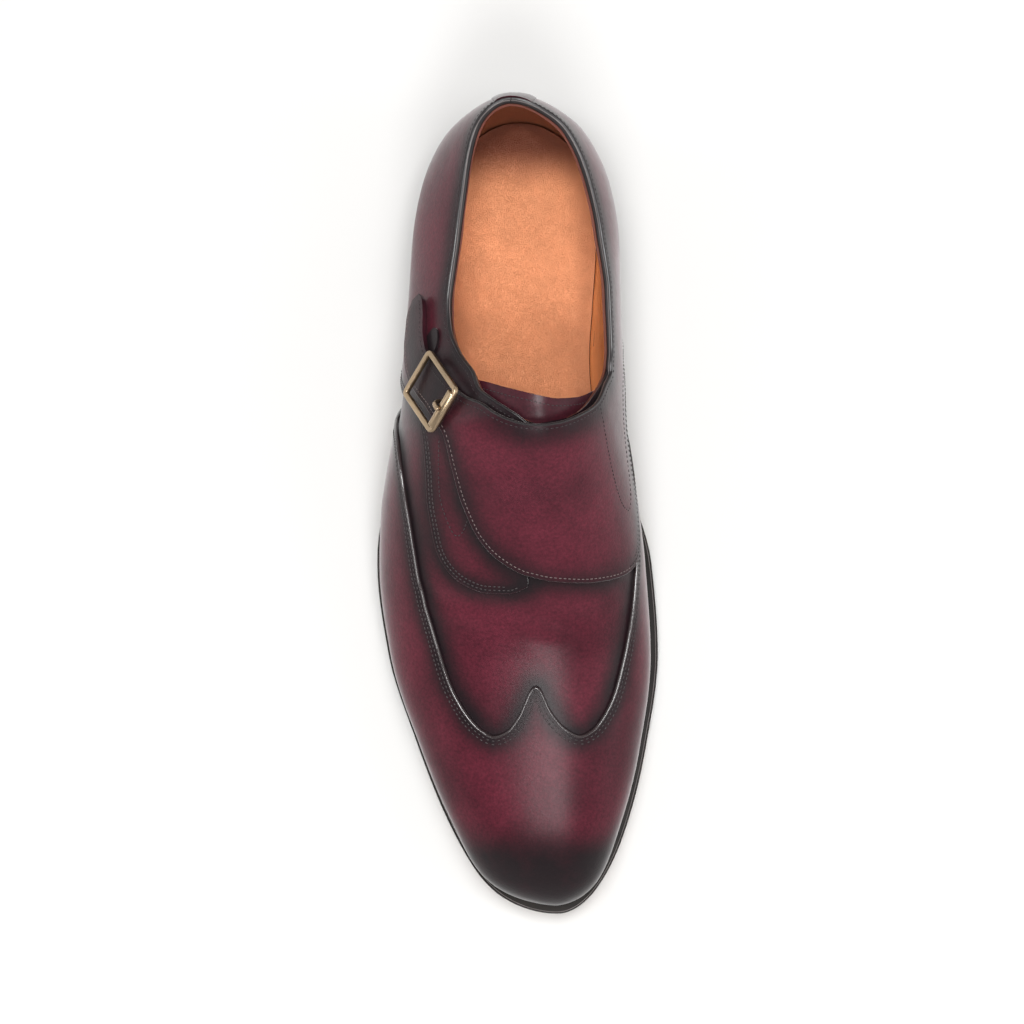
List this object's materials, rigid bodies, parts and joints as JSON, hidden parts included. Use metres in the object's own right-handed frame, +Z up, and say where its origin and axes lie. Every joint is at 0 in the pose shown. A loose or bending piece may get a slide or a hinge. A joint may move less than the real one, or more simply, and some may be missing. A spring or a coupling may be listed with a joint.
{
  "type": "monk strap shoe",
  "caption": "Right-foot leather monk strap shoe: wing-capped hollow upper, buckled instep strap, welted leather sole and stacked heel.",
  "frame": {"origin": "under the middle of the shoe's bounding box, on the floor", "axes": "+Z up, toe towards -Y and heel towards +Y, medial side towards +X, buckle side towards -X"},
  "size_m": [0.108, 0.3066, 0.1094],
  "materials": {
    "upper": "polished burgundy calf, burnished darker at seams and toe",
    "binding": "rolled dark leather edge",
    "insole": "pebbled orange-tan leather",
    "outsole": "black waxed leather edge",
    "welt": "black waxed leather",
    "heel": "black waxed stacked leather",
    "top_lift": "matt black rubber",
    "buckle": "satin antique brass"
  },
  "bodies": {
    "root": {"outsole": "outsole", "welt": "welt", "heel_stack": "heel", "top_lift": "top_lift", "insole": "insole", "upper": "upper", "wing_cap": "upper", "quarter_lateral": "upper", "quarter_medial": "upper", "tongue": "upper", "collar_binding": "binding", "monk_strap": "upper", "buckle_tab": "upper", "buckle_frame": "buckle", "buckle_prong": "buckle"}
  },
  "joints": []
}
